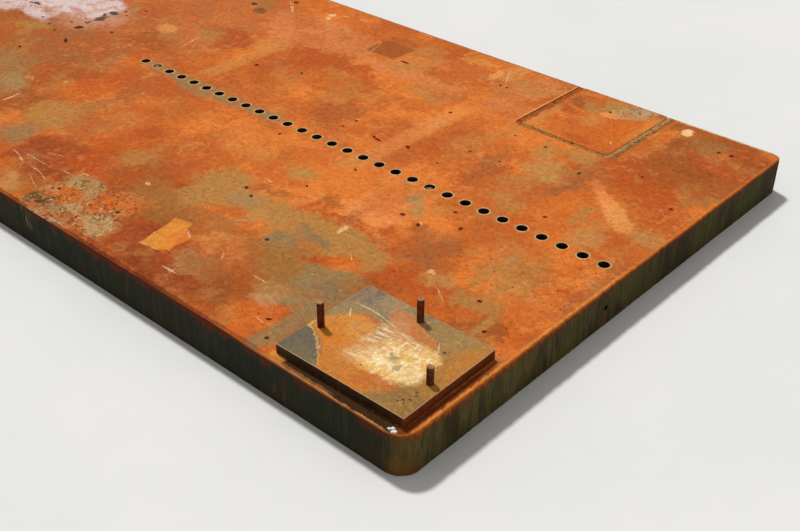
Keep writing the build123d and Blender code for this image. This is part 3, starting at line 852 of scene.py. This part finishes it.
def pad_finish():
    """The pad's top: grey scale, an orange field and a bright worn middle with fine scuffs."""
    finish = Finish("pad_top", 0.6, shade(150, 124, 86), flat=True)
    box = plan_box(pad_low, pad_high)
    finish.mottle(shade(134, 114, 82), 0.05, 0.42, 0.60)
    finish.stir(finish.swirl(0.03, detail=6), 9 * MM)
    finish.paint(pad_fields, box)
    finish.mottle(shade(184, 132, 74), 0.040, 0.50, 0.66, 0.5, 7, 0.7, shift=2.0)
    finish.mottle(shade(128, 92, 54), 0.015, 0.56, 0.68, 0.25, 6, shift=6.0)
    finish.mottle(shade(204, 150, 92), 0.009, 0.57, 0.68, 0.5, shift=9.0)
    finish.paint(grey_corner, box)
    for line in corner_line:
        finish.coat(finish.scratch(*line, strength=0.75), shade(224, 172, 96))

    # The bright ground middle, with pale and orange flakes and grey smudges
    finish.paint(bright_fields, box)
    ground = finish.spot(1375, -606, 72, 66, -12, soft=0.4)
    flakes = finish.cloud(0.017, detail=6, roughness=0.7, shift=3.0, stretch=(1.5, 0.8, 1))
    finish.coat(finish.both(ground, finish.step(flakes, 0.53, 0.61, 0.85)), shade(254, 234, 196))
    finish.coat(finish.both(ground, finish.step(flakes, 0.46, 0.38, 0.6)), shade(214, 150, 70))
    for smudge in pad_smudges:
        finish.coat(finish.spot(*smudge, soft=0.9, strength=0.75), shade(158, 136, 98))

    # Fine scuffs along the length, in a pale band left of the middle
    scuffs = finish.cloud(0.0045, detail=5, roughness=0.7, stretch=(0.10, 1, 1), turn=-8)
    band = finish.spot(1297, -602, 26, 62, 4, soft=0.35, square=True)
    finish.coat(finish.both(band, 0.45), shade(208, 152, 96))
    finish.coat(finish.both(band, finish.step(scuffs, 0.53, 0.62, 0.8)), shade(238, 204, 160))
    upper = finish.spot(1340, -556, 80, 18, -4, soft=0.5)
    finish.coat(finish.both(upper, finish.step(scuffs, 0.52, 0.60, 0.7)), shade(240, 206, 158))

    # Single scratches, pits and the ring mark
    finish.stir(finish.swirl(0.012, detail=3), 1.2 * MM)
    for line in pad_scratches:
        finish.coat(finish.scratch(*line, strength=0.6), shade(240, 212, 168))
    for pit in pad_pits:
        finish.coat(finish.spot(*pit, soft=0.9, strength=0.8), soot)
    finish.settle()
    ring_place = (1380, -480)
    ring = finish.both(finish.spot(*ring_place, 46, 34, soft=0.08),
                       finish.spot(*ring_place, 49, 37, soft=0.08))
    ring = finish.math("SUBTRACT", ring, finish.spot(*ring_place, 42, 31, soft=0.12))
    finish.coat(finish.both(finish.math("MAXIMUM", ring, 0), 0.4), shade(190, 158, 108))
    finish.grainy(finish.cloud(0.010, detail=5, roughness=0.7, shift=21.0), 0.22)
    return finish.grained(0.0028, 0.30, 0.8 * MM, roughness=0.75)


def pad_edge_finish():
    """The pad's cut edges: dark scale, red-brown towards the corner, with a pale upper edge that is wear with
    a painted highlight.
    """
    finish = Finish("pad_edge", 0.75, shade(44, 32, 18))
    along, aside, height = finish.heights()
    left, right, high = pad_low.x, pad_high.x, pad_high.z
    finish.mottle(shade(60, 38, 20), 0.03, 0.42, 0.58)
    corner = finish.both(finish.step(along, right - 0.05, right - 0.01),
                         finish.step(aside, -0.52, -0.66, 0.7))
    finish.coat(corner, shade(92, 32, 10))
    finish.coat(finish.both(finish.step(along, right - 0.006, right - 0.003), 0.8), shade(122, 52, 18))
    finish.coat(finish.step(along, left + 0.10, left + 0.01, 0.6), shade(66, 60, 36))
    finish.mottle(shade(28, 20, 12), 0.008, 0.52, 0.68, 0.7, shift=3.0)
    finish.coat(finish.step(height, top + 0.007, top + 0.001, 0.5), shade(104, 56, 24))
    # Pale upper edge: wear with a painted highlight along the arris
    finish.coat(finish.step(height, high - 0.0022, high - 0.0006, 0.9), shade(216, 170, 120))
    return finish.grained(0.003, 0.25, 1.0 * MM)


def stud_finish():
    """Dark red-brown rust on the bars."""
    finish = Finish("stud", 0.75, shade(110, 54, 22))
    finish.mottle(shade(66, 32, 14), 0.010, 0.42, 0.60, detail=6, roughness=0.7)
    finish.mottle(shade(140, 70, 30), 0.004, 0.58, 0.70, 0.5, shift=2.0)
    return finish.grained(0.002, 0.2, 0.7 * MM)


def stud_end_finish():
    """The bars' bare pale ends."""
    finish = Finish("stud_end", 0.6, shade(190, 136, 100))
    finish.mottle(shade(132, 84, 56), 0.005, 0.42, 0.60)
    return finish.close(finish.cloud(0.002), 0.5 * MM)


def crumb_finish():
    """Dry crumbs of scale and dirt, white and sooty at the plate's corner."""
    finish = Finish("dry_crumbs", 0.9, shade(150, 116, 68))
    finish.mottle(shade(92, 66, 36), 0.02, 0.42, 0.58)
    finish.mottle(shade(206, 182, 146), 0.007, 0.54, 0.64, 0.9, shift=3.0)
    finish.mottle(rust, 0.012, 0.55, 0.64, 0.8, shift=6.0)
    white = finish.blotches(shade(238, 234, 226), soot, 0.006, 0.56, 0.62, 0.9, shift=8.0)
    finish.coat(finish.spot(1484, -749, 16, 13, soft=0.2), white)
    return finish.close(finish.cloud(0.003), 1.0 * MM)


def placed(name, data):
    """Makes an object and puts it in the scene."""
    made = bpy.data.objects.new(name, data)
    bpy.context.scene.collection.objects.link(made)
    return made


def piece(name, bm, *materials):
    """Makes an object of a finished bmesh."""
    mesh = bpy.data.meshes.new(name)
    bm.to_mesh(mesh)
    bm.free()
    for material in materials:
        mesh.materials.append(material)
    return placed(name, mesh)


def settle(made):
    """Applies the modifiers of a piece to its mesh."""
    shape = bpy.data.meshes.new_from_object(made.evaluated_get(bpy.context.evaluated_depsgraph_get()))
    made.modifiers.clear()
    made.data = shape
    shape.name = made.name


def cut(made, tool):
    """Takes the tool's shape out of a piece and throws the tool away."""
    modifier = made.modifiers.new("cut", "BOOLEAN")
    modifier.operation = "DIFFERENCE"
    modifier.solver = "EXACT"
    modifier.material_mode = "TRANSFER"
    modifier.object = tool
    settle(made)
    bpy.data.objects.remove(tool)


def smooth(made, angle):
    """Smooths a piece, except at edges sharper than the angle."""
    made.data.shade_smooth()
    made.data.set_sharp_from_angle(angle=math.radians(angle))
    return made


def block(length, width, height):
    """A block round the origin."""
    bm = bmesh.new()
    ops.create_cube(bm, size=1)
    ops.scale(bm, vec=(length, width, height), verts=bm.verts)
    return bm


def rise(edge):
    return abs(edge.verts[0].co.z - edge.verts[1].co.z)


def bevel(bm, edges, offset, segments):
    ops.bevel(bm, geom=edges, offset=offset, offset_type="OFFSET", segments=segments, profile=0.5,
              affect="EDGES", material=-1)


def bevel_rims(bm, offset, segments):
    """Bevels all level edges of an upright block."""
    bevel(bm, [edge for edge in bm.edges if rise(edge) < MM], offset, segments)


def divide(bm, edges, cuts, grid=False):
    ops.subdivide_edges(bm, edges=edges, cuts=cuts, use_grid_fill=grid)


def bisect(bm, place, normal, **more):
    everything = bm.verts[:] + bm.edges[:] + bm.faces[:]
    ops.bisect_plane(bm, geom=everything, plane_co=place, plane_no=normal, **more)


def close_holes(bm, sides=0):
    ops.holes_fill(bm, edges=[edge for edge in bm.edges if edge.is_boundary], sides=sides)


def turned(bm, profile, x, y, steps):
    """Adds a bar turned about an upright axis, from its radius at each height."""
    verts = [bm.verts.new((x + reach, y, z)) for reach, z in profile]
    edges = [bm.edges.new(pair) for pair in zip(verts, verts[1:])]
    ops.spin(bm, geom=verts + edges, cent=(x, y, 0), axis=(0, 0, 1), angle=2 * math.pi, steps=steps,
             use_merge=True, use_duplicate=False)
    close_holes(bm, sides=64)


def slab(length, width, low, high, radius, corner_steps, pad_corner=None):
    """An upright block with rounded corners, centred in plan; pad_corner is the near right one's radius."""
    bm = block(length, width, high - low)
    ops.translate(bm, vec=(0, 0, (high + low) / 2), verts=bm.verts)
    for at_pad, size in ((True, pad_corner or radius), (False, radius)):
        upright = [edge for edge in bm.edges if rise(edge) > (high - low) / 2
                   and (edge.verts[0].co.x > 0 > edge.verts[0].co.y) == at_pad]
        bevel(bm, upright, size, corner_steps)
    return bm


def fine_bumps(place, size, shift=0.0):
    """Fractal noise whose bumps are about size across."""
    return noise.fractal(Vector(place) / size + Vector((shift, 0, 0)), 0.7, 2.0, 3)


def burnt(path, z):
    """How far the flame-cut end lies inside its plane: drag lines, gouges and a melted top edge."""
    depth = top - z
    line = path + 0.10 * depth ** 2 / top

    def ripple(per_metre, seed, upright):
        return noise.noise(Vector((line * per_metre, seed, z * upright)))

    ridges = ripple(420, 0.0, 4) * 0.45 + ripple(150, 3.0, 7) * 0.8
    gouge = max(0.0, ripple(75, 9.0, 5) - 0.42) * 7
    wave = noise.noise(Vector((path * 11, 5.0, z * 8))) * 0.8
    melt = math.exp(-depth / 0.006) * (1.4 + 2.2 * noise.noise(Vector((path * 60, 1.0, 0.0))))
    return max(0.0, 0.9 + ridges + gouge + wave + max(melt, 0)) * MM


def rubbed(x, y, z):
    """How many mm the rolled edge lies inside its plane: light wear, and chips along the top edge."""
    rub = 0.3 * fine_bumps((x, y, z), 0.05) + 0.15 * fine_bumps((x, y, z), 0.012, 4.0)
    chip = max(0.0, noise.noise(Vector((x * 30, z * 30, y * 3))) - 0.3) * 4 * math.exp(-(top - z) / 0.004)
    return 0.5 + rub + chip


def region_boxes():
    """The top's regions in mm: one at the far end, then a near and a far one for each stretch."""
    boxes = [(region_ends[0], region_ends[1], -side_y, side_y)]
    for left, right in zip(region_ends[1:], region_ends[2:]):
        boxes.append((left, right, -side_y, region_split_y))
        boxes.append((left, right, region_split_y, side_y))
    return boxes


def plate_block():
    """The plate's rounded block, divided finely along its edges and at the regions' lines."""
    half = (end_x, back_y)
    bm = slab(2 * end_x, 2 * back_y, plate_low.z, top, corner_radius, 14, pad_corner_radius)
    bevel_rims(bm, arris, 3)
    for axis, sign, step in ((0, 1, 2.3), (0, -1, 5.0), (1, -1, 7.0), (1, 1, 7.0)):
        other = 1 - axis
        runs = [edge for edge in bm.edges
                if abs(edge.verts[0].co[other] - edge.verts[1].co[other]) > 0.5
                and all(vert.co[axis] * sign > half[axis] - 2 * arris for vert in edge.verts)]
        divide(bm, runs, round(2 * half[other] / (step * MM)))
    divide(bm, [edge for edge in bm.edges if rise(edge) > top / 2], 16, grid=True)
    for line in region_ends[1:-1]:
        bisect(bm, (line * MM, 0, 0), (1, 0, 0))
    bisect(bm, (0, region_split_y * MM, 0), (0, 1, 0))
    return bm


def plate_body(top_skins, bottom_skin, side_skin, hole_skin, wall_skin):
    """The plate itself, roughened on its upright faces, drilled and notched."""
    bm = plate_block()
    for vert in bm.verts:
        x, y, z = vert.co
        radius = pad_corner_radius if x > 0 > y else corner_radius
        across = max(0.0, abs(y) - (back_y - radius))
        along = max(0.0, abs(x) - (end_x - radius))
        outward = Vector((math.copysign(along, x), math.copysign(across, y), 0))
        if outward.length < 1e-6:
            continue
        outward.normalize()
        if along > MM:
            path = y if across == 0 else y + math.copysign(radius, y) * math.atan2(along, across)
            far_end_shift = 7 if x < 0 else 0
            vert.co -= outward * burnt(path + far_end_shift, z)
        else:
            vert.co -= outward * rubbed(x, y, z) * MM

    bm.normal_update()
    boxes = region_boxes()
    count = len(boxes)
    for face in bm.faces:
        if face.normal.z > 0.99:
            middle = face.calc_center_median() / MM
            face.material_index = next(index for index, (left, right, near, far) in enumerate(boxes)
                                       if left <= middle.x <= right and near <= middle.y <= far)
        else:
            face.material_index = count if face.normal.z < -0.99 else count + 1
    body = piece("plate_body", bm, *top_skins, bottom_skin, side_skin)

    drills = bmesh.new()
    rim = 0.7 * MM
    flare = hole_radius + rim + MM
    profile = [(flare, top + MM), (hole_radius, top - rim), (hole_radius, rim), (flare, -MM)]
    for index in range(hole_count):
        turned(drills, profile, first_hole.x - index * hole_pitch, first_hole.y, 32)
        ops.recalc_face_normals(drills, faces=drills.faces)
    cut(body, piece("row_drill", drills, hole_skin))
    bit = bmesh.new()
    lying = Matrix.Translation((end_x, end_hole.y, end_hole.z)) @ Matrix.Rotation(math.pi / 2, 4, "Y")
    ops.create_cone(bit, cap_ends=True, segments=24, radius1=end_hole_radius, radius2=end_hole_radius,
                    depth=2 * end_hole_depth, matrix=lying)
    cut(body, piece("end_drill", bit, hole_skin))
    cut(body, notch_tool("notch", inset_low, inset_high, inset_radius, -0.01, wall_skin))
    cut(body, notch_tool("groove", weld_low, weld_high, notch_radius, top - seam_depth, wall_skin))
    return smooth(body, 28)


def notch_tool(name, low, high, radius, foot, skin):
    """A block with two rounded corners that reaches in from the back edge as far as a node's box."""
    bm = slab(high.x - low.x, 2 * (back_y - low.y), foot, top + 0.01, radius, 8)
    ops.translate(bm, vec=((low.x + high.x) / 2, back_y, 0), verts=bm.verts)
    return piece(name, bm, skin)


def inset_body(top_skin, bottom_skin, side_skin):
    """The inset: flush with the plate, its edges worn and a little eaten away."""
    size = inset_high - inset_low
    middle = (inset_low + inset_high) / 2
    bm = slab(size.x, size.y, plate_low.z, top, inset_radius, 6)
    ops.translate(bm, vec=(middle.x, middle.y, 0), verts=bm.verts)
    bevel_rims(bm, 1.5 * MM, 2)
    divide(bm, [edge for edge in bm.edges if edge.calc_length() > 0.2], 80)
    for vert in bm.verts:
        if vert.co.y < back_y - 0.02:
            bite = fine_bumps(vert.co, 0.02) * 0.5 + fine_bumps(vert.co, 0.006, 3) * 0.3
            inward = Vector((middle.x - vert.co.x, middle.y - vert.co.y, 0))
            vert.co += inward.normalized() * max(0.0, bite) * MM
    bm.normal_update()
    for face in bm.faces:
        face.material_index = 0 if face.normal.z > 0.9 else 1 if face.normal.z < -0.9 else 2
    return smooth(piece("inset_body", bm, top_skin, bottom_skin, side_skin), 28)


def weld_bead(skin):
    """The weld round the inset: the upper part of the solid's shape, remeshed and pitted on top."""
    bm = bmesh.new()
    bm.from_mesh(frame["nodes"]["inset_weld"].data)
    ops.remove_doubles(bm, verts=bm.verts, dist=1e-5)
    bisect(bm, (0, 0, top - 0.02), (0, 0, -1), clear_outer=True)
    close_holes(bm)
    made = piece("weld_bead", bm, skin)
    remesh = made.modifiers.new("even", "REMESH")
    remesh.mode = "VOXEL"
    remesh.voxel_size = 2.0 * MM
    settle(made)
    for vert in made.data.vertices:
        if vert.co.z > weld_high.z - 0.003:
            sunk = 0.8 if vert.co.x < inset_low.x else 0.0
            lumps = 0.7 * fine_bumps(vert.co, 0.016) + 0.6 * fine_bumps(vert.co, 0.007, 5)
            pit = max(0.0, fine_bumps(vert.co, 0.010, 9) - 0.35) * 4
            vert.co.z += (1.5 - sunk + lumps - pit) * MM
    made.data.materials.clear()
    made.data.materials.append(skin)
    made.data.shade_smooth()
    return made


def pad_body(top_skin, edge_skin):
    """The pad: a cut plate with sharp, lightly worn edges, turned a little on the corner."""
    bm = block(pad_length, pad_width, pad_high.z - top)
    bevel(bm, bm.edges[:], 0.9 * MM, 2)
    divide(bm, [edge for edge in bm.edges if edge.calc_length() > 0.1], 110)
    for vert in bm.verts:
        if max(abs(vert.co.x) / pad_length, abs(vert.co.y) / pad_width) > 0.49:
            wear = max(0.0, fine_bumps(vert.co, 0.02)) * 0.7 + max(0.0, fine_bumps(vert.co, 0.005, 3)) * 0.35
            vert.co -= Vector((math.copysign(1, vert.co.x), math.copysign(1, vert.co.y), 0)) * wear * MM
    middle = Vector((pad_middle.x, pad_middle.y, (pad_high.z + top) / 2))
    place = Matrix.Translation(middle) @ Matrix.Rotation(pad_turn, 4, "Z")
    ops.transform(bm, matrix=place, verts=bm.verts)
    bm.normal_update()
    for face in bm.faces:
        face.material_index = 0 if abs(face.normal.z) > 0.95 else 1
    return smooth(piece("pad_body", bm, top_skin, edge_skin), 25)


def stud(name, side_skin, stud_end_skin):
    """A rusted round bar with a broken edge, a little rough all over."""
    pin = mounts[name]
    middle = Vector(pin["pos_m"])
    radius = pin["dims"]["r_mm"] * MM
    low = pad_high.z - 1 * MM
    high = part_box(name)[1][2]
    broken_edge = 1.5 * MM
    heights = [low + (high - broken_edge - low) * step / 14 for step in range(15)]
    profile = [(radius, z) for z in heights] + [(radius - broken_edge, high - 0.1 * MM), (radius * 0.5, high)]
    bm = bmesh.new()
    turned(bm, profile, middle.x, middle.y, 36)
    for vert in bm.verts:
        outward = Vector((vert.co.x - middle.x, vert.co.y - middle.y, 0))
        if outward.length > radius * 0.6:
            vert.co -= outward.normalized() * (0.25 + 0.35 * fine_bumps(vert.co, 0.006)) * MM
    ops.recalc_face_normals(bm, faces=bm.faces)
    for face in bm.faces:
        face.material_index = 1 if face.normal.z > 0.5 else 0
    return smooth(piece(name + "_bar", bm, side_skin, stud_end_skin), 35)


def scattered(fields):
    """Places for lumps in ovals: x, y, reach x, reach y, how many, largest size and height."""
    places = []
    inside = side_y - 10
    for x, y, reach_x, reach_y, count, size, height in fields:
        for _ in range(count):
            angle = random.uniform(0, 2 * math.pi)
            far = math.sqrt(random.random())
            place_x = x + reach_x * far * math.cos(angle)
            place_y = min(max(y + reach_y * far * math.sin(angle), -inside), inside)
            lump = random.uniform(0.2, 1) ** 2 * size
            places.append((place_x, place_y, lump, random.uniform(0.4, 1) * height))
    return places


def crumbs(name, places, plugs, skin):
    """Low lumps pressed on the top, x, y, half-size and height in mm, and dirt that fills some holes."""
    bm = bmesh.new()
    for x, y, size, height in places:
        lump = ops.create_icosphere(bm, subdivisions=1, radius=1)["verts"]
        turn = Matrix.Rotation(random.uniform(0, math.pi), 4, "Z")
        flat = Matrix.Diagonal((size * MM, size * MM * random.uniform(0.4, 1.0), height * MM, 1))
        spot = Matrix.Translation((x * MM, y * MM, top))
        ops.transform(bm, matrix=spot @ turn @ flat, verts=lump)
        for vert in lump:
            away = vert.co - spot.to_translation()
            vert.co += Vector((away.x, away.y, 0)) * 0.45 * noise.noise(vert.co / (size * MM * 0.9))
    plug_radius = hole_radius - 0.1 * MM
    for index, depth in plugs:
        middle = Vector((first_hole.x - index * hole_pitch, first_hole.y, top - depth * MM))
        fill = ops.create_uvsphere(bm, u_segments=24, v_segments=12, radius=1)["verts"]
        flat = Matrix.Diagonal((plug_radius, plug_radius, 4 * MM, 1))
        ops.transform(bm, matrix=Matrix.Translation(middle) @ flat, verts=fill)
        for vert in fill:
            vert.co.z += 3 * MM * fine_bumps(vert.co, 0.007)
    return smooth(piece(name, bm, skin), 50)


top_skins = [top_finish(f"plate_top_{index}", box) for index, box in enumerate(region_boxes())]
inset_skin = top_finish("inset_top", plan_box(inset_low, inset_high), inset_marks)
bottom_skin = underside_finish()
side_skin = side_finish()
stud_skin = stud_finish()
stud_end_skin = stud_end_finish()

dressed = {
    "base_plate": plate_body(top_skins, bottom_skin, side_skin, hole_finish(), seam_wall_finish()),
    "inset_plate": inset_body(inset_skin, bottom_skin, side_skin),
    "inset_weld": weld_bead(weld_finish()),
    "pad_plate": pad_body(pad_finish(), pad_edge_finish()),
}
for stud_name in ("stud_left", "stud_back", "stud_front"):
    dressed[stud_name] = stud(stud_name, stud_skin, stud_end_skin)
for node_name, made in dressed.items():
    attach(made, "root")
    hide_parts(node_name)

crumb_fields = [
    (300, -600, 50, 30, 10, 4, 0.8), (275, -715, 44, 34, 40, 6, 1.4), (370, -735, 60, 22, 26, 6, 1.2),
    (480, -695, 50, 38, 8, 4, 0.8), (410, -690, 50, 40, 10, 4, 0.8), (1110, 738, 56, 14, 26, 5, 1.6),
    (1062, 690, 44, 36, 14, 4, 1.0),
    (1460, -690, 16, 30, 12, 2, 0.4), (1483, -748, 10, 6, 34, 4.5, 2.6), (1180, 600, 6, 150, 26, 3, 1.2),
    (1030, 436, 110, 6, 24, 3, 1.0),
]
plugs = [(28, 5), (9, 9)]  # which hole from the flame-cut end, counted from 0, and how deep in mm
crust = crumbs("edge_crust", scattered(crumb_fields), plugs, crumb_finish())
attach(crust, "root")


def floor_and_light():
    """A plain pale floor, a high soft key from the plate's far end and an even pale surround."""
    paint = Finish("floor", 0.9, shade(226, 226, 224))
    paint.mottle(shade(232, 231, 229), 0.8, 0.3, 0.7)
    bm = bmesh.new()
    ops.create_grid(bm, x_segments=1, y_segments=1, size=150)
    floor = piece("floor", bm, paint.close())

    key = bpy.data.lights.new("key", "SUN")
    key.energy = 2.4
    key.angle = math.radians(6)
    toward = Vector((0.45, -0.13, -0.87))
    placed("key", key).rotation_euler = toward.to_track_quat("-Z", "Y").to_euler()

    world = bpy.data.worlds.new("surround")
    world.use_nodes = True
    surround = world.node_tree.nodes["Background"].inputs
    surround["Color"].default_value = (1.0, 0.99, 0.97, 1)
    surround["Strength"].default_value = 0.38
    bpy.context.scene.world = world


def photo_camera():
    """A standing viewer off the plate's flame-cut corner, looking down along its length."""
    lens = bpy.data.cameras.new("camera")
    lens.lens = 50.43
    lens.sensor_width = 36
    lens.sensor_fit = "HORIZONTAL"
    eye = (2.525, -1.9087, 1.4979)
    azimuth, pitch, roll = (math.radians(angle) for angle in (41.53, 33.48, 0.79))
    level = Vector((-math.sin(azimuth), math.cos(azimuth), 0)) * math.cos(pitch)
    forward = level - Vector((0, 0, math.sin(pitch)))
    turn = forward.to_track_quat("-Z", "Y").to_matrix().to_4x4() @ Matrix.Rotation(roll, 4, "Z")
    camera = placed("camera", lens)
    camera.matrix_world = Matrix.Translation(eye) @ turn
    bpy.context.scene.camera = camera


floor_and_light()
photo_camera()
bpy.context.scene.view_settings.view_transform = "Standard"

bpy.context.view_layer.update()
